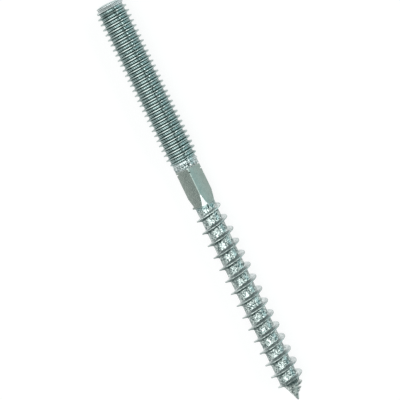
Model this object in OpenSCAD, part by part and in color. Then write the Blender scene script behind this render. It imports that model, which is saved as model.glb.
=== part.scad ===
// Hanger bolt, M6 by 80: a machine thread at one end, a wood thread with a
// gimlet point at the other and a pressed square drive between them.
// It lies along X with its machine end towards -X and rests on Z = 0.

/* [Overall] */
// Length from the machine end to the point
overall_length = 80; // [70:1:120]

/* [Machine thread] */
// Diameter over the crests
machine_major = 5.9; // [5.4:0.05:6.4]
// Diameter at the bottom of the groove
machine_root = 4.56; // [4:0.02:4.6]
// Advance for each turn
machine_pitch = 1; // [0.9:0.05:1.5]
// Width of the crest
machine_crest = 0.22; // [0.05:0.01:0.3]
// Width of the thread at its base
machine_base = 0.78; // [0.5:0.01:0.85]
// Length with full threads
machine_length = 30; // [15:0.5:34]
// Length over which the thread runs out
machine_runout = 3.5; // [1.5:0.1:4.5]
// Distance from the end face to the first crest
machine_first = 0.62; // [0.5:0.01:0.9]
// Length of the bevel at the end
bevel_length = 1.9; // [0.5:0.1:3]
// Radial depth of the bevel at the end
bevel_depth = 0.6; // [0.1:0.05:0.65]
// Height of the dome on the end face
dome_height = 0.2; // [0.05:0.01:0.2]
// Diameter of the flat in the middle of the dome
dome_flat = 2.2; // [1:0.1:3]
// Diameter of the dome
dome_d = 4.4; // [3.6:0.1:4.4]

/* [Square drive] */
// Distance from the last full thread to the start of the flats
neck_length = 2.15; // [1.5:0.05:4]
// Length of the neck that is left plain
neck_plain = 0.65; // [0.3:0.05:1.4]
// Diameter over the rounded corners
drive_corners = 4.64; // [4.62:0.02:5.2]
// Distance across opposite flats
drive_flats = 3.46; // [3.3:0.02:3.7]
// Length of the flats, with their ends
drive_length = 8.25; // [6:0.05:14]
// Length of the slope into the flats at the machine end
drive_ramp = 0.75; // [0.2:0.05:1.5]
// Length of the slope out of the flats at the wood end
drive_heel = 0.3; // [0.1:0.01:0.4]
// Length over which the corners taper to the shank
drive_taper = 2.4; // [1:0.1:3]

/* [Shank] */
// Diameter of the plain shank
shank_d = 3.8; // [3.76:0.02:4.2]
// Length of the plain shank
shank_length = 1.25; // [0.8:0.05:4]

/* [Wood thread] */
// Diameter over the crests
wood_major = 5.7; // [5:0.05:6.2]
// Diameter of the core between the threads
wood_root = 3.7; // [3.2:0.02:3.72]
// Advance for each turn
wood_pitch = 2.44; // [2:0.02:3]
// Width of the crest
wood_crest = 0.24; // [0.1:0.01:0.4]
// Width of the thread at its base
wood_base = 0.8; // [0.5:0.02:1.4]
// Turns over which the thread rises to its full height
wood_rise = 2.6; // [0.5:0.1:4]
// Angle at which the thread starts, from +Y towards +Z
wood_start = 150; // [90:5:170]
// Distance from the start of the helix to the plain shank
wood_lead = 1.66; // [1.5:0.01:2]

/* [Point] */
// Length over which the thread closes up to the point
point_length = 4.76; // [3.5:0.02:7]
// Turns of thread on the point
point_turns = 4; // [3:1:5]
// Pitch of each turn on the point as a share of the one before
point_closing = 0.52; // [0.4:0.01:0.7]
// Length of the plain cone
cone_length = 3.25; // [2.5:0.05:4]
// Diameter of the cone at its base
cone_base = 2.7; // [1.8:0.02:3]
// Diameter of the blunt tip
tip_d = 0.3; // [0.1:0.02:0.6]
// Length of the cone over which the thread sinks into its -Y side
cone_lean = 0.6; // [0.3:0.05:1.5]
// Length of the shoulder between core and cone
shoulder_length = 0.45; // [0.2:0.05:1]

/* [Hidden] */
$fn = 72;
zinc = [0.78, 0.82, 0.8];

// Flats on each turn of a thread, so that one of them lies on the floor
sides = 24;
// Radius of a corner that puts a flat side at radius 1
corner = 1 / cos(180 / sides);
// Depth by which a thread's core hides inside the plain middle
tuck = 0.06;
// Profile points on each turn: foot, crest, crest, foot
steps = 4;
// Powers that shape the run-out, the rise, the point and its last turns
runout_power = 2;
rise_power = 0.2;
point_power = 1.35;
close_power = 4;
// Rings that make up the dome
dome_rings = 2;
// Turns over which the machine thread rises at the end face
machine_rise = 0.4;

// Places along the bolt, from the end face
drive_start = machine_length + neck_length;
drive_end = drive_start + drive_length;
blank_start = drive_start - neck_plain;
shank_end = drive_end + shank_length;
helix_start = drive_end - wood_lead;
point_start = overall_length - point_length;
cone_start = overall_length - cone_length;
rest_height = max(machine_major, wood_major) / 2;

// Turns of each thread
machine_turns = ceil((machine_length + machine_runout - machine_first) / machine_pitch);
wood_full_turns = (point_start - helix_start) / wood_pitch;
wood_turns = ceil(wood_full_turns + point_turns);

function clamp(v) = max(0, min(1, v));
function blend(a, b, share) = a + (b - a) * share;

// Machine thread: centre of the crest, share of full height and radius limits
function machine_place(turn) = machine_first + turn * machine_pitch;
function machine_height(turn) =
    clamp(turn / machine_rise)
    * pow(1 - clamp((machine_place(turn) - machine_length) / machine_runout), runout_power);
function bevel_radius(x) =
    machine_major / 2 - bevel_depth * (1 - clamp(x / bevel_length));
function machine_radius(x, turn, on_crest) =
    min(
        bevel_radius(x),
        blend(machine_root / 2, machine_major / 2, on_crest * machine_height(turn))
    );

// Wood thread: the pitch closes up on the point, and the height with it.
// On the cone the thread is pressed flush on the -Y side.
function past_full(turn) = max(0, turn - wood_full_turns);
function wood_share(turn) = pow(point_closing, past_full(turn));
function wood_place(turn) =
    helix_start
    + min(turn, wood_full_turns) * wood_pitch
    + wood_pitch * (1 - wood_share(turn)) / -ln(point_closing);
function wood_core(x) =
    x < drive_end + shank_length / 2 ? min(drive_flats, wood_root) / 2 - tuck
    : x < cone_start
    ? blend(wood_root / 2, cone_base / 2, clamp(1 + (x - cone_start) / shoulder_length))
    : blend(tip_d / 2, cone_base / 2, (overall_length - x) / cone_length);
function wood_limit(x) =
    wood_major / 2 * (1 - pow(clamp((x - point_start) / point_length), point_power));
function wood_lean(turn) =
    clamp((wood_place(turn) - cone_start) / cone_lean) * (1 - cos(360 * turn)) / 2;
function wood_height(turn) =
    pow(clamp((turn - wood_start / 360) / wood_rise), rise_power)
    * (1 - pow(clamp(past_full(turn) / point_turns), close_power))
    * (1 - wood_lean(turn));
function wood_radius(x, turn, on_crest) =
    let (core = wood_core(x))
    blend(core, max(core, wood_limit(x)), on_crest * wood_height(turn));

// A point at a radius and an angle round the bolt
function round_point(x, radius, angle) =
    [x, radius * corner * cos(angle), radius * corner * sin(angle)];

// Distance of profile point j from the crest's centre, and whether it is on the crest
function profile_offset(j, crest, base) = [-base, -crest, crest, base][j] / 2;
function profile_crest(j) = j == 1 || j == 2 ? 1 : 0;

// Faces of a thread whose columns of points run along the bolt. Column 0 meets
// the last column one turn later, so it stands one turn of points further on.
function thread_faces(turns) =
    let (
        rows = turns * steps + 2,
        last = sides - 1,
        full = rows - 2 - steps
    )
    concat(
        // Between neighbouring columns
        [
            for (i = [0 : sides - 2], m = [0 : rows - 2], half = [0, 1])
                let (a = i * rows + m, b = a + rows)
                half == 0 ? [a, b + 1, b] : [a, a + 1, b + 1]
        ],
        // Between the last column and column 0 a turn on
        [
            for (m = [1 : full - 1], half = [0, 1])
                let (a = last * rows + m, b = m + steps)
                half == 0 ? [a, b + 1, b] : [a, a + 1, b + 1]
        ],
        // Start of the seam
        [for (m = [0 : steps]) [last * rows, m + 1, m]],
        [[last * rows, last * rows + 1, steps + 1]],
        // End of the seam
        [for (m = [full : rows - 2]) [rows - 1, last * rows + m, last * rows + m + 1]],
        [[rows - 2, last * rows + full, rows - 1]],
        // Flat ends
        [
            [for (i = [0 : last]) i * rows],
            [for (i = [last : -1 : 0]) i * rows + rows - 1]
        ]
    );

module machine_thread() {
    end = machine_place(machine_turns) + machine_base;
    points = [
        for (i = [0 : sides - 1])
            let (angle = (i + 0.5) * 360 / sides)
            each [
                round_point(dome_height, machine_root / 2, angle),
                for (k = [0 : machine_turns - 1], j = [0 : steps - 1])
                    let (
                        turn = k + angle / 360,
                        x = machine_place(turn) + profile_offset(j, machine_crest, machine_base)
                    )
                    round_point(x, machine_radius(x, turn, profile_crest(j)), angle),
                round_point(end, machine_root / 2, angle)
            ]
    ];
    polyhedron(points, thread_faces(machine_turns), convexity = 10);
}

module wood_thread() {
    points = [
        for (i = [0 : sides - 1])
            let (angle = (i + 0.5) * 360 / sides)
            each [
                round_point(helix_start - wood_base, wood_core(0), angle),
                for (k = [0 : wood_turns - 1], j = [0 : steps - 1])
                    let (
                        turn = k + angle / 360,
                        x = wood_place(turn)
                            + profile_offset(j, wood_crest, wood_base) * wood_share(turn)
                    )
                    round_point(x, wood_radius(x, turn, profile_crest(j)), angle),
                round_point(overall_length, tip_d / 2, angle)
            ]
    ];
    polyhedron(points, thread_faces(wood_turns), convexity = 10);
}

// The low dome on the machine end, flat in its middle
module end_dome() {
    rotate([90, 0, 90])
        rotate_extrude()
            polygon([
                [0, 0],
                for (ring = [0 : dome_rings])
                    [
                        blend(dome_flat / 2, dome_d / 2, ring / dome_rings),
                        dome_height * pow(ring / dome_rings, 2)
                    ],
                [dome_d / 2, dome_height + tuck],
                [0, dome_height + tuck]
            ]);
}

// The plain middle: neck, corners of the drive, taper and shank
module plain_middle() {
    rotate([90, 0, 90])
        rotate_extrude()
            polygon([
                [0, blank_start],
                [drive_corners / 2, blank_start],
                [drive_corners / 2, drive_end - drive_taper],
                [shank_d / 2, drive_end],
                [shank_d / 2, shank_end],
                [0, shank_end]
            ]);
}

// What the press pushes away to leave one flat, facing +Z
module flat_cut() {
    low = drive_flats / 2;
    top = machine_major;
    rise = drive_corners / 2 + tuck - low;
    heel = shank_d / 2 + tuck - low;
    rotate([90, 0, 0])
        linear_extrude(height = 2 * machine_major, center = true)
            polygon([
                [drive_start, low + rise],
                [drive_start + drive_ramp, low],
                [drive_end - drive_heel, low],
                [drive_end, low + heel],
                [drive_end, top],
                [drive_start, top]
            ]);
}

module hanger_bolt() {
    color(zinc)
        translate([-overall_length / 2, 0, rest_height])
            difference() {
                union() {
                    plain_middle();
                    end_dome();
                    machine_thread();
                    wood_thread();
                }
                for (quarter = [0 : 3])
                    rotate([45 + 90 * quarter, 0, 0])
                        flat_cut();
            }
}

hanger_bolt();
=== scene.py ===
import bpy
import math
import numpy as np
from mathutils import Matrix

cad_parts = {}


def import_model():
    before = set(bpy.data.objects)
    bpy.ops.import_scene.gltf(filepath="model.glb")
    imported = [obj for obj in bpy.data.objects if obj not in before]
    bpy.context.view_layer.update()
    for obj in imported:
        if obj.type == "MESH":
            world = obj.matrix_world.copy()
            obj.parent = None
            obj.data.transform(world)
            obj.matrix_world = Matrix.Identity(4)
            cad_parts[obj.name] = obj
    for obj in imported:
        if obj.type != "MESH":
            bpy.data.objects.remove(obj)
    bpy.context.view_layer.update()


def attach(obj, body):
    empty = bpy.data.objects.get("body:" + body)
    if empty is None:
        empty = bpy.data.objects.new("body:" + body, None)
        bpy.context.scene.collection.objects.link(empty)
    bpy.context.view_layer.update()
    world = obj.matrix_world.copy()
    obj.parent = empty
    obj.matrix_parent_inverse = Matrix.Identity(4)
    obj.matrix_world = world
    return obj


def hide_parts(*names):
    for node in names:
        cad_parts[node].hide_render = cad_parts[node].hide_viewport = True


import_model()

# The bolt is modelled in millimetres along its own axis, with its end face
# at x = 0, and is shrunk to metres and laid on the floor at the end.
millimetre = 0.001
mergeGap = 0.0001
boltMiddle = 40
restHeight = 2.95    # height of the axis above the floor


def deselectAll():
    if bpy.context.object and bpy.context.object.mode != "OBJECT":
        bpy.ops.object.mode_set(mode="OBJECT")
    bpy.ops.object.select_all(action="DESELECT")


def workOn(piece):
    deselectAll()
    piece.select_set(True)
    bpy.context.view_layer.objects.active = piece


def editAll(piece, mode="VERT"):
    workOn(piece)
    bpy.ops.object.mode_set(mode="EDIT")
    bpy.ops.mesh.select_mode(type=mode)
    bpy.ops.mesh.select_all(action="SELECT")


def doneEditing():
    bpy.ops.object.mode_set(mode="OBJECT")


def applyModifier(piece, kind, **settings):
    workOn(piece)
    modifier = piece.modifiers.new(kind.title(), kind)
    for name, value in settings.items():
        setattr(modifier, name, value)
    bpy.ops.object.modifier_apply(modifier=modifier.name)


def combine(piece, other, how):
    applyModifier(piece, "BOOLEAN", object=other, operation=how, solver="MANIFOLD")
    bpy.data.objects.remove(other, do_unlink=True)


def wind(piece, steps, **settings):
    # turns a line round the X axis
    applyModifier(piece, "SCREW", axis="X", angle=math.tau, steps=steps, render_steps=steps,
                  use_smooth_shade=False, **settings)


def tilt(degrees, axis):
    bpy.ops.transform.rotate(value=math.radians(degrees), orient_axis=axis,
                             center_override=(0, 0, 0))


def getPoints(piece):
    points = np.empty(len(piece.data.vertices) * 3)
    piece.data.vertices.foreach_get("co", points)
    return points.reshape(-1, 3)


def setPoints(piece, points):
    piece.data.vertices.foreach_set("co", points.ravel())
    piece.data.update()


def drawLine(name, start, moves):
    # a point, extruded move by move into a line of (x, radius) points
    bpy.ops.mesh.primitive_plane_add(size=1)
    piece = bpy.context.object
    piece.name = name
    editAll(piece)
    bpy.ops.mesh.merge(type="CENTER")
    bpy.ops.transform.translate(value=(*start, 0))
    for move in moves:
        bpy.ops.mesh.extrude_region_move(TRANSFORM_OT_translate={"value": (*move, 0)})
    doneEditing()
    return piece


def closeUp(piece):
    editAll(piece)
    bpy.ops.mesh.remove_doubles(threshold=mergeGap)
    bpy.ops.mesh.select_all(action="SELECT")
    bpy.ops.mesh.normals_make_consistent(inside=False)
    doneEditing()


def turnProfile(name, outline, steps):
    # an outline that starts and ends on the axis, spun into a solid
    moves = [(there[0] - here[0], there[1] - here[1])
             for here, there in zip(outline, outline[1:])]
    piece = drawLine(name, outline[0], moves)
    wind(piece, steps, use_merge_vertices=True, merge_threshold=mergeGap)
    closeUp(piece)
    return piece


def cutOff(piece, x, side):
    # slices the coil square across and closes the cut
    editAll(piece)
    bpy.ops.mesh.bisect(plane_co=(x, 0, 0), plane_no=(side, 0, 0), use_fill=True,
                        clear_outer=True, threshold=0.00001)
    doneEditing()


def coil(name, size):
    # one groove and ridge, wound into a thread with heights from 0 to 1 on radius 1
    pitch = size["pitch"]
    shape = [(-0.5 + place, height) for place, height in size["shape"]]
    shape += [(0.5 - place, height) for place, height in size["shape"][-2::-1]]
    start = size["firstCrest"] - 2 * pitch
    moves = [((there[0] - here[0]) * pitch, there[1] - here[1])
             for here, there in zip(shape, shape[1:])]
    piece = drawLine(name, (start + shape[0][0] * pitch, 1 + shape[0][1]), moves)
    wind(piece, size["steps"], screw_offset=pitch, iterations=size["turns"])
    editAll(piece)
    bpy.ops.mesh.remove_doubles(threshold=mergeGap)
    doneEditing()
    return piece


def readCoil(piece, size):
    # its points, their distance from the axis, height on the thread and turn
    points = getPoints(piece)
    radius = np.hypot(points[:, 1], points[:, 2])
    angle = np.arctan2(points[:, 2], points[:, 1]) / math.tau % 1
    whole = np.round((points[:, 0] - size["firstCrest"]) / size["pitch"] - angle)
    return points, radius, radius - 1, whole + angle


def fitCoil(piece, points, stretch, size):
    # gives the coil its real radius and cuts it to length
    points[:, 1:] *= stretch[:, None]
    setPoints(piece, points)
    cutOff(piece, size["cutFrom"], -1)
    cutOff(piece, size["cutTo"], 1)
    closeUp(piece)


# Machine thread

machineThread = {
    "pitch": 1.0,
    "firstCrest": 0.62,
    "rootRadius": 2.29,
    "crestRadius": 2.95,
    "fullTo": 30.0,
    "runOut": 3.5,
    "turns": 39,
    "steps": 80,
    "cutFrom": -0.4,
    "cutTo": 34.5,
    "endSteps": 96,
    # from the middle of the groove to the middle of the crest
    "shape": [(0, 0), (0.11, 0.008), (0.18, 0.03), (0.235, 0.1), (0.28, 0.23), (0.32, 0.4),
              (0.352, 0.6), (0.38, 0.82), (0.397, 0.93), (0.425, 1), (0.5, 1)],
    # the rounded and bevelled end
    "end": [(0, 0), (0, 0.9), (0.04, 1.3), (0.11, 1.75), (0.2, 2.15), (0.31, 2.37),
            (0.5, 2.46), (1.0, 2.62), (1.6, 2.82), (2.1, 2.95), (3.0, 3.2), (36, 3.2), (36, 0)],
}


def makeMachineThread():
    size = machineThread
    piece = coil("machineThread", size)
    points, radius, height, turn = readCoil(piece, size)
    crestAt = size["firstCrest"] + turn * size["pitch"]
    fade = 1 - np.clip((crestAt - size["fullTo"]) / size["runOut"], 0, 1)
    depth = size["crestRadius"] - size["rootRadius"]
    newRadius = size["rootRadius"] + depth * height * fade ** 2
    fitCoil(piece, points, newRadius / radius, size)
    combine(piece, turnProfile("machineEnd", size["end"], size["endSteps"]), "INTERSECT")
    return piece


# Wood thread and point

woodThread = {
    "pitch": 2.44,
    "firstCrest": 38.74,
    "rootRadius": 1.85,
    "crestRadius": 2.85,
    "startTurn": 0.4167,
    "riseTurns": 2.6,
    "risePower": 0.2,
    "pointFrom": 75.24,
    "pointTurns": 4,
    "pointPower": 1.35,
    "closing": 0.52,      # pitch of each turn on the point as a share of the one before
    "closingPower": 4,
    "coneFrom": 76.75,
    "coneRadius": 1.35,
    "coneLean": 0.6,
    "shoulder": 0.45,
    "length": 80.0,
    "turns": 22,
    "steps": 96,
    "cutFrom": 37.8,
    "cutTo": 78.75,
    "tipFrom": 78.4,
    "tipBase": 78.6,
    "tipRound": (79.8, 79.93),
    "tipRadius": 0.15,
    "tipSteps": 96,
    "shape": [(0, 0), (0.28, 0), (0.33, 0.03), (0.36, 0.09), (0.384, 0.2), (0.404, 0.34),
              (0.42, 0.52), (0.434, 0.72), (0.447, 0.9), (0.46, 0.98), (0.475, 1), (0.5, 1)],
}


def woodCore(x):
    size = woodThread
    return np.interp(x, [size["coneFrom"] - size["shoulder"], size["coneFrom"], size["length"]],
                     [size["rootRadius"], size["coneRadius"], size["tipRadius"]])


def makeTip():
    # a plain cone closes the thread, just inside its last turn
    size = woodThread
    baseRadius = float(woodCore(np.array([size["tipBase"]]))[0])
    blunt = size["tipRadius"]
    outline = [(size["tipFrom"], 0), (size["tipFrom"], baseRadius - 0.01),
               (size["tipBase"], baseRadius - 0.004), (size["tipRound"][0], blunt + 0.06),
               (size["tipRound"][1], blunt * 0.8), (size["length"], 0)]
    return turnProfile("tip", outline, size["tipSteps"])


def makeWoodThread():
    size = woodThread
    piece = coil("woodThread", size)
    points, radius, height, turn = readCoil(piece, size)
    # on the point the turns close up
    past = np.maximum(0, (points[:, 0] - size["pointFrom"]) / size["pitch"])
    closing = size["closing"]
    reach = size["pitch"] * (1 - closing ** past) / -math.log(closing)
    points[:, 0] = np.minimum(points[:, 0], size["pointFrom"]) + reach
    x = points[:, 0]
    rise = np.clip((turn - size["startTurn"]) / size["riseTurns"], 0, 1) ** size["risePower"]
    fall = 1 - np.clip(past / size["pointTurns"], 0, 1) ** size["closingPower"]
    # on the cone the thread is pressed flush on one side
    lean = np.clip((x - size["coneFrom"]) / size["coneLean"], 0, 1)
    fall *= 1 - lean * (1 - points[:, 1] / radius) / 2
    pointShare = np.clip((x - size["pointFrom"]) / (size["length"] - size["pointFrom"]), 0, 1)
    limit = size["crestRadius"] * (1 - pointShare ** size["pointPower"])
    core = woodCore(x)
    newRadius = core + (np.maximum(limit, core) - core) * height * rise * fall
    fitCoil(piece, points, newRadius / radius, size)
    combine(piece, makeTip(), "UNION")
    return piece


# Square drive, neck and shank

squareDrive = {
    "blankFrom": 31.5,
    "flatsFrom": 32.15,
    "flatsTo": 40.4,
    "cornerRadius": 2.32,
    "flatHeight": 1.73,
    "flatCrown": 40.0,    # radius of the slight crown across each flat
    "ramp": 0.75,
    "heel": 0.3,
    "taper": 2.4,
    "shankRadius": 1.9,
    "shankTo": 41.65,
    "steps": 192,
    "pressCuts": 11,
    "pressWidth": 7,
    "pressTop": 6,
    "clearance": 0.06,    # how far the sloping ends reach past the blank
    # grooves that the thread rolls leave on the corners: first place, depths turn by turn
    "nickFrom": 32.25,
    "nickDepths": (0.42, 0.32, 0.1),
    "nickWidth": 0.32,
    "nickLength": 1.6,
    "nickNarrowing": 0.65,
    "upperCornerShare": 0.45,
    "sharpFrom": -7.2,    # crisp borders, from the middle of the bolt
    "sharpTo": 0.2,
}


def makePress(angle):
    # the shape pushed into one flat: a block with a hollow sole and sloping ends
    size = squareDrive
    low, clearance = size["flatHeight"], size["clearance"]
    start, end = size["flatsFrom"], size["flatsTo"]
    rampEnd, heelStart = start + size["ramp"], end - size["heel"]
    bpy.ops.mesh.primitive_cube_add(size=1)
    press = bpy.context.object
    editAll(press)
    bpy.ops.mesh.subdivide(number_cuts=size["pressCuts"])
    doneEditing()
    points = getPoints(press)
    # rows of the block, and where they come to lie along the bolt
    along = np.interp(points[:, 0], [-0.5, -0.42, -0.33, 0.42, 0.5],
                      [start - 0.05, start + 0.35, rampEnd, heelStart, end])
    across = points[:, 1] * size["pressWidth"]
    slope = np.interp(along, [start, rampEnd, heelStart, end],
                      [size["cornerRadius"] + clearance - low, 0, 0,
                       size["shankRadius"] + clearance - low])
    sole = low + slope - across ** 2 / (2 * size["flatCrown"])
    points[:, 2] = sole + (points[:, 2] + 0.5) * (size["pressTop"] - sole)
    points[:, 0], points[:, 1] = along, across
    setPoints(press, points)
    editAll(press)
    tilt(angle, "X")
    doneEditing()
    return press


def makeNick(x, depth, quarter):
    # a narrow block on its edge, over one corner
    size = squareDrive
    wide = size["nickWidth"]
    bpy.ops.mesh.primitive_cube_add(size=1)
    nick = bpy.context.object
    editAll(nick)
    bpy.ops.transform.resize(value=(wide, size["nickLength"], wide))
    tilt(45, "Y")
    bpy.ops.transform.resize(value=(size["nickNarrowing"], 1, 1))
    lift = size["cornerRadius"] - depth + wide * math.sqrt(0.5)
    bpy.ops.transform.translate(value=(x, 0, lift))
    tilt(90 * quarter - 90, "X")
    doneEditing()
    return nick


def makeNicks():
    size = squareDrive
    nicks = []
    for turn, depth in enumerate(size["nickDepths"]):
        for quarter in range(4):
            share = size["upperCornerShare"] if quarter == 1 else 1
            nicks.append(makeNick(size["nickFrom"] + turn + quarter / 4, depth * share, quarter))
    deselectAll()
    for nick in nicks:
        nick.select_set(True)
    bpy.context.view_layer.objects.active = nicks[0]
    bpy.ops.object.join()
    return nicks[0]


def makeDrive(machine, wood):
    size = squareDrive
    outline = [(size["blankFrom"], 0), (size["blankFrom"], size["cornerRadius"]),
               (size["flatsTo"] - size["taper"], size["cornerRadius"]),
               (size["flatsTo"], size["shankRadius"]),
               (size["shankTo"], size["shankRadius"]), (size["shankTo"], 0)]
    piece = turnProfile("squareDrive", outline, size["steps"])
    combine(piece, machine, "UNION")
    combine(piece, wood, "UNION")
    for quarter in range(4):
        combine(piece, makePress(45 + 90 * quarter), "DIFFERENCE")
    combine(piece, makeNicks(), "DIFFERENCE")
    return piece


def sharpenFlats(piece):
    # the flats keep crisp borders
    size = squareDrive
    editAll(piece, "FACE")
    bpy.ops.mesh.select_all(action="DESELECT")
    bpy.ops.object.mode_set(mode="OBJECT")
    for face in piece.data.polygons:
        normal = face.normal
        offFlat = abs(math.degrees(math.atan2(normal.z, normal.y)) % 90 - 45)
        flat = offFlat < 9 and abs(normal.x) < 0.02
        face.select = flat and size["sharpFrom"] < face.center.x / millimetre < size["sharpTo"]
    bpy.ops.object.mode_set(mode="EDIT")
    bpy.ops.mesh.region_to_loop()
    bpy.ops.mesh.mark_sharp()
    doneEditing()


def makeBolt():
    machine = makeMachineThread()
    print("machine thread wound")
    wood = makeWoodThread()
    print("wood thread wound")
    bolt = makeDrive(machine, wood)
    print("square drive pressed")
    bolt.name = "bolt"
    closeUp(bolt)
    points = getPoints(bolt)
    points += np.array([-boltMiddle, 0, restHeight])
    points *= millimetre
    setPoints(bolt, points)
    workOn(bolt)
    bpy.ops.object.shade_smooth_by_angle(angle=math.radians(32))
    sharpenFlats(bolt)
    bolt.data.materials.clear()
    return bolt


bolt = makeBolt()
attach(bolt, "root")
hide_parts("hanger_bolt")
print("bolt built,", len(bolt.data.polygons), "faces")


# Zinc plating

zincPlating = {
    "machineTone": (0.40, 0.51, 0.495, 1),
    "woodTone": (0.65, 0.72, 0.69, 1),
    "flatTone": (0.30, 0.345, 0.315, 1),
    "cornerTone": (0.22, 0.27, 0.25, 1),
    "crestTone": (0.44, 0.51, 0.49, 1),
    # near-white tone of the painted highlight
    "finTone": (0.97, 1.0, 1.0, 1),
    "pointTone": (0.84, 0.88, 0.85, 1),
    # dark tone for the marks and for the painted shade
    "dullTone": (0.06, 0.10, 0.10, 1),
    "edgeTint": (0.9, 0.93, 0.93, 1),
    "machineRoughness": 0.18,
    "woodRoughness": 0.22,
    "satinRoughness": 0.3,      # added on flanks, taper, end and point
    "crestRoughness": 0.1,      # added on the machine thread's crests
    "grainRoughness": (-0.05, 0.08),
    "pitSpacing": 0.42,
    "pitDepth": 0.06,
    "hatchPitch": 0.38,
    "hatchSlant": -0.75,
    "hatchWander": 0.2,
    "hatchDepth": 0.28,
    "grainDepth": (0.3, 1.15),  # on the machine half and on the wood half
    "paleMetallic": 0.3,
    # how much of the painted highlight tone each place takes
    "brightness": {"fin": 0.75, "neck": 0.45, "end": 0.9},
    # how much of the dark tone each place takes: pits, rough patches, hatch, dents, point and mottle
    # are marks; groove, valley, backFlank, band and woodCrest are painted shade, and core is partly
    # painted shade
    "dulling": {"pits": 0.65, "rough": 0.4, "groove": 0.1, "hatch": 0.36, "valley": 0.32,
                "backFlank": 0.4, "core": 0.6, "band": 0.7, "woodCrest": 0.25, "point": 0.35,
                "dents": 0.7, "mottle": (-0.05, 0.15)},
    # soft steps along the bolt, in millimetres from its middle
    "along": {
        "endFace": (-39.85, -39.7), "bevel": (-39.0, -38.75), "firstTurns": (-38.6, -37.4),
        "lastTurns": (-11.0, -9.8), "machineEnd": (-8.9, -8.2), "neckStart": (-8.95, -8.6),
        "dentStart": (-8.4, -8.1), "hatchEnd": (-8.3, -7.8), "facetStart": (-8.0, -7.9),
        "driveStart": (-7.9, -7.7), "neckFade": (-7.85, -7.6), "flatStart": (-7.6, -7.2),
        "dentEnd": (-7.3, -7.1), "facetEnd": (-7.2, -7.1), "neckEnd": (-7.2, -7.05),
        "taper": (-2.2, -1.9), "pitStart": (-0.3, 1), "flatEnd": (-0.1, 0.3),
        "driveEnd": (0.0, 0.1), "bandStart": (0.0, 0.15), "grainStart": (0, 2),
        "woodStart": (0.4, 1.0), "bandEnd": (0.7, 0.9), "point": (36.2, 37.0),
    },
    # soft steps away from the axis, in millimetres
    "radius": {
        "corner": (1.82, 1.88), "core": (1.92, 2.1), "grooveFloor": (2.4, 2.54),
        "valley": (2.5, 2.65), "woodCrest": (2.68, 2.76), "grooveTop": (2.68, 2.82),
        "hatch": (2.7, 2.8), "crest": (2.72, 2.84),
    },
    # soft steps in the patterns
    "pattern": {
        "pitHole": (0.1, 0.42), "pitPatch": (0.4, 0.55), "ripple": (-0.2, 0.9),
        "rough": (0.45, 0.66), "band": (0.35, 0.6), "core": (0.4, 0.56),
        "point": (0.45, 0.58), "dents": (0.42, 0.55), "mottle": (0.35, 0.7),
        "gloss": (0.3, 0.7),
    },
}


class NodeDesk:
    # puts nodes on a material and joins them up
    def __init__(self, name):
        self.material = bpy.data.materials.new(name)
        self.material.use_nodes = True
        self.tree = self.material.node_tree
        self.shader = self.tree.nodes["Principled BSDF"]

    def add(self, kind, inputs=(), **settings):
        node = self.tree.nodes.new("ShaderNode" + kind)
        for key, value in settings.items():
            setattr(node, key, value)
        for socket, value in dict(inputs).items():
            self.feed(node.inputs[socket], value)
        return node

    def feed(self, socket, value):
        if hasattr(value, "is_output"):
            self.tree.links.new(value, socket)
        else:
            socket.default_value = value

    def paint(self, **values):
        # sets or links the shader's sockets, named without their spaces
        for socket in self.shader.inputs:
            key = socket.name.replace(" ", "")
            if key in values:
                self.feed(socket, values[key])

    def math(self, operation, first, second=0.0):
        return self.add("Math", {0: first, 1: second}, operation=operation).outputs[0]

    def times(self, first, *others):
        for other in others:
            first = self.math("MULTIPLY", first, other)
        return first

    def plus(self, first, *others):
        for other in others:
            first = self.math("ADD", first, other)
        return first

    def clamp(self, value):
        return self.add("Clamp", {"Value": value}).outputs[0]

    def ramp(self, value, step, low=0.0, high=1.0):
        # a soft step from low to high
        node = self.add("MapRange", {"Value": value, "From Min": step[0], "From Max": step[1],
                                     "To Min": low, "To Max": high},
                        interpolation_type="SMOOTHSTEP")
        return node.outputs["Result"]

    def noise(self, where, scale, detail=2.0, roughness=0.5):
        node = self.add("TexNoise", {"Vector": where, "Scale": scale, "Detail": detail,
                                     "Roughness": roughness})
        return node.outputs["Fac"]

    def blend(self, amount, first, second):
        node = self.add("Mix", data_type="RGBA")
        for number, value in ((0, amount), (6, first), (7, second)):
            self.feed(node.inputs[number], value)
        return node.outputs[2]


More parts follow.
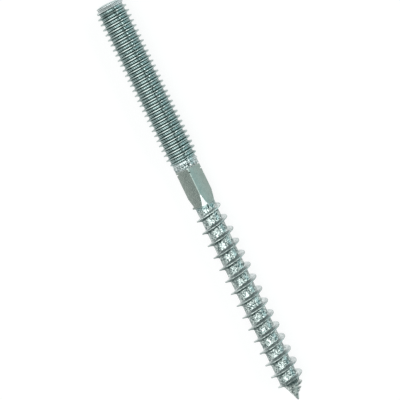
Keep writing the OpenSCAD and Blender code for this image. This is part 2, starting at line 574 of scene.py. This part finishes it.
def makeZinc():
    look = zincPlating
    stepAlong, stepRadius, stepPattern = look["along"], look["radius"], look["pattern"]
    desk = NodeDesk("zincPlating")
    place = desk.add("TexCoord").outputs["Object"]
    # millimetres from the axis, with x running from the middle of the bolt
    axis = desk.add("Mapping", {"Vector": place, "Location": (0, 0, -restHeight),
                                "Scale": (1 / millimetre,) * 3}).outputs["Vector"]
    parts = desk.add("SeparateXYZ", {"Vector": axis})
    along, across, up = (parts.outputs[name] for name in "XYZ")
    radius = desk.math("SQRT", desk.plus(desk.times(across, across), desk.times(up, up)))
    normal = desk.add("SeparateXYZ", {"Vector": desk.add("TexCoord").outputs["Normal"]})
    facing, sideways, upwards = (normal.outputs[name] for name in "XYZ")
    # 1 where the surface looks straight away from the axis
    outward = desk.math("DIVIDE", desk.plus(desk.times(sideways, across),
                                            desk.times(upwards, up)), radius)
    towardsHead = desk.ramp(facing, (-0.5, -0.25), 1, 0)
    towardsPoint = desk.ramp(facing, (0.2, 0.5))

    def after(name):
        return desk.ramp(along, stepAlong[name])

    def before(name, rest=0):
        return desk.ramp(along, stepAlong[name], 1, rest)

    def outside(name):
        return desk.ramp(radius, stepRadius[name])

    def inside(name, rest=0):
        return desk.ramp(radius, stepRadius[name], 1, rest)

    # places on the bolt, the same on all its sides
    onMachine = before("machineEnd")
    behindEnd = after("endFace")
    onWood = after("woodStart")
    onFlats = desk.times(after("flatStart"), before("flatEnd"))
    onDrive = desk.times(after("driveStart"), before("driveEnd"))
    corner = desk.times(onDrive, outside("corner"), desk.ramp(outward, (0.93, 0.96)))
    taper = desk.times(corner, after("taper"))
    onPoint = after("point")
    beforePoint = desk.math("SUBTRACT", 1.0, onPoint)
    facet = desk.times(after("facetStart"), before("facetEnd"), towardsHead)
    crest = desk.times(onMachine, outside("crest"))
    # the wood thread's crests, darkened below as a painted dark reflection
    woodCrest = desk.times(onWood, outside("woodCrest"))
    fin = desk.times(onWood, towardsHead, beforePoint)
    # painted shade: the wood thread's flanks that face the point are darkened
    backFlank = desk.times(onWood, towardsPoint, beforePoint)
    # painted shade: the flanks of the machine thread are darkened
    groove = desk.times(onMachine, outside("grooveFloor"), inside("grooveTop"),
                        desk.ramp(along, stepAlong["firstTurns"], 0.25, 1), before("lastTurns", 0.1))
    neck = desk.times(after("neckStart"), before("neckFade", 0.4), before("neckEnd"))
    endZone = desk.times(behindEnd, before("bevel"))
    # lower Metallic on the fin flanks and ramp facets, so that their painted highlight reads pale
    pale = desk.clamp(desk.plus(desk.times(fin, 0.25), desk.times(facet, 0.8)))
    dented = desk.times(after("dentStart"), before("dentEnd"))
    # painted shade: the valleys between the machine thread's ridges are darkened
    valley = desk.times(onMachine, behindEnd, inside("valley"))
    # the wood thread's root is darkened in blotches, a little on the fins too: partly random
    # mottling, partly painted shade between the fins
    core = desk.times(onWood, beforePoint, inside("core", 0.2))

    # rolling leaves pits, dents and a slanting hatch
    mottle = desk.noise(axis, 1.3, 3.0)
    patches = desk.noise(axis, 2.2, 2.0, 0.6)
    fine = desk.noise(axis, 3.4, 3.0, 0.6)
    cells = desk.add("TexVoronoi", {"Vector": axis, "Scale": 1 / look["pitSpacing"]})
    pits = desk.times(desk.ramp(cells.outputs["Distance"], stepPattern["pitHole"], 1, 0),
                      desk.ramp(desk.noise(axis, 1.6, 1.0), stepPattern["pitPatch"]),
                      after("pitStart"))
    slant = desk.plus(across, desk.times(along, look["hatchSlant"]))
    wander = desk.plus(slant, desk.times(mottle, look["hatchWander"]))
    ripple = desk.math("SINE", desk.times(wander, math.tau / look["hatchPitch"]))
    hatch = desk.times(behindEnd, desk.ramp(ripple, stepPattern["ripple"]),
                       before("hatchEnd"), inside("hatch"))

    def grain(name, amount=1):
        return desk.ramp(fine, stepPattern[name], 0, amount)

    bright = look["brightness"]
    # painted highlight: the fin flanks that face the head, the ramp facets, the taper, the neck and
    # the end are lightened towards a near-white tone
    paintedHighlight = desk.clamp(desk.plus(desk.times(fin, bright["fin"]), facet, taper,
                                 desk.times(neck, bright["neck"]),
                                 desk.times(endZone, bright["end"])))
    tone = desk.blend(onWood, look["machineTone"], look["woodTone"])
    for mask, name in ((onFlats, "flatTone"), (corner, "cornerTone"), (crest, "crestTone"),
                       (paintedHighlight, "finTone"), (onPoint, "pointTone")):
        tone = desk.blend(mask, tone, look[name])

    darkShare = look["dulling"]
    rough = desk.times(onWood, desk.ramp(patches, stepPattern["rough"]))
    smooth = desk.clamp(desk.plus(fin, woodCrest))
    marks = desk.times(desk.plus(desk.times(pits, darkShare["pits"]), desk.times(rough, darkShare["rough"])),
                       desk.ramp(smooth, (0, 1), 1, 0.3))
    # painted shade: a blotchy darker band where the drive ends and the wood thread starts
    band = desk.times(after("bandStart"), before("bandEnd"), grain("band"))
    dulling = desk.plus(marks,
                        desk.times(groove, darkShare["groove"]),
                        desk.times(hatch, darkShare["hatch"]),
                        desk.times(valley, darkShare["valley"]),
                        desk.times(backFlank, darkShare["backFlank"]),
                        desk.times(core, grain("core", darkShare["core"])),
                        desk.times(band, darkShare["band"]),
                        desk.times(woodCrest, darkShare["woodCrest"]),
                        desk.times(onPoint, grain("point"), darkShare["point"]),
                        desk.times(dented, grain("dents", darkShare["dents"])),
                        desk.ramp(mottle, stepPattern["mottle"], *darkShare["mottle"]))

    satin = desk.clamp(desk.plus(desk.times(fin, 0.3), backFlank, taper, endZone,
                                 desk.times(onPoint, 0.7)))
    roughness = desk.plus(
        desk.ramp(onWood, (0, 1), look["machineRoughness"], look["woodRoughness"]),
        desk.times(satin, look["satinRoughness"]), desk.times(crest, look["crestRoughness"]),
        desk.ramp(fine, stepPattern["gloss"], *look["grainRoughness"]))
    relief = desk.ramp(along, stepAlong["grainStart"], *look["grainDepth"])
    height = desk.math("SUBTRACT", desk.times(fine, relief),
                       desk.plus(pits, desk.times(hatch, look["hatchDepth"])))
    bump = desk.add("Bump", {"Height": height, "Strength": 1.0,
                             "Distance": look["pitDepth"] * millimetre})
    desk.paint(BaseColor=desk.blend(desk.clamp(dulling), tone, look["dullTone"]),
               Metallic=desk.ramp(pale, (0, 1), 1, look["paleMetallic"]),
               SpecularTint=look["edgeTint"], Roughness=roughness, Normal=bump.outputs["Normal"])
    return desk.material


bolt.data.materials.append(makeZinc())
print("zinc plating mixed")


# Studio

white = (1, 1, 1)
studio = {
    "floorSize": 3,
    "floorColour": (0.94, 0.94, 0.94, 1),
    "floorRoughness": 0.9,
    "floorGlow": 0.8,
    "glowStrength": 1.06,
    "worldColour": (0.13, 0.19, 0.18, 1),
    "lampDistance": 0.6,
    # angle from straight above, width, length along the bolt, power, colour
    "lamps": {
        "overheadSoftbox": (-18, 0.72, 0.52, 2.75, white),
        "leftSoftbox": (-68, 0.4, 0.52, 0.5, white),
        "stripLight": (41, 0.08, 0.9, 1.1, white),
        "rightFill": (72, 0.38, 0.8, 1.05, (0.74, 0.96, 1)),
    },
    "lens": 162,
    "cameraPlace": (-0.034408, 0, 0.326619),
    "cameraAngles": (-5.34846, -2.48478, 64.39796),
}


def mixFloorPaint():
    # seen directly or in the metal, the floor is close to white and keeps a faint shadow
    desk = NodeDesk("paleFloor")
    desk.paint(BaseColor=studio["floorColour"], Roughness=studio["floorRoughness"],
               SpecularIORLevel=0)
    rays = desk.add("LightPath").outputs
    seen = rays["Is Camera Ray"]
    for kind in ("Is Glossy Ray", "Is Transmission Ray"):
        seen = desk.math("MAXIMUM", seen, rays[kind])
    share = desk.times(seen, studio["floorGlow"])
    glow = desk.add("Emission", {"Strength": studio["glowStrength"]})
    mix = desk.add("MixShader", {0: share, 1: desk.shader.outputs[0], 2: glow.outputs[0]})
    desk.feed(desk.tree.nodes["Material Output"].inputs["Surface"], mix.outputs[0])
    return desk.material


def makeFloor():
    bpy.ops.mesh.primitive_plane_add(size=studio["floorSize"], location=(0, 0, 0))
    floor = bpy.context.object
    floor.name = "floor"
    floor.data.materials.append(mixFloorPaint())


def addSoftbox(name, angle, width, length, power, colour):
    light = bpy.data.lights.new(name, "AREA")
    light.shape = "RECTANGLE"
    light.size = length
    light.size_y = width
    light.energy = power
    light.color = colour
    softbox = bpy.data.objects.new(name, light)
    turn = math.radians(angle)
    distance = studio["lampDistance"]
    softbox.location = (0, distance * math.sin(turn), distance * math.cos(turn))
    softbox.rotation_euler = (-turn, 0, 0)
    bpy.context.collection.objects.link(softbox)


def makeWorld():
    world = bpy.data.worlds.new("room")
    world.use_nodes = True
    background = world.node_tree.nodes["Background"]
    background.inputs["Color"].default_value = studio["worldColour"]
    bpy.context.scene.world = world


def makeCamera():
    lens = bpy.data.cameras.new("camera")
    lens.sensor_width = 36
    lens.lens = studio["lens"]
    lens.clip_start = 0.01
    camera = bpy.data.objects.new("camera", lens)
    camera.location = studio["cameraPlace"]
    camera.rotation_euler = [math.radians(angle) for angle in studio["cameraAngles"]]
    bpy.context.collection.objects.link(camera)
    bpy.context.scene.camera = camera


makeFloor()
for name, settings in studio["lamps"].items():
    addSoftbox(name, *settings)
makeWorld()
makeCamera()
bpy.context.scene.view_settings.view_transform = "Standard"
print("studio set")
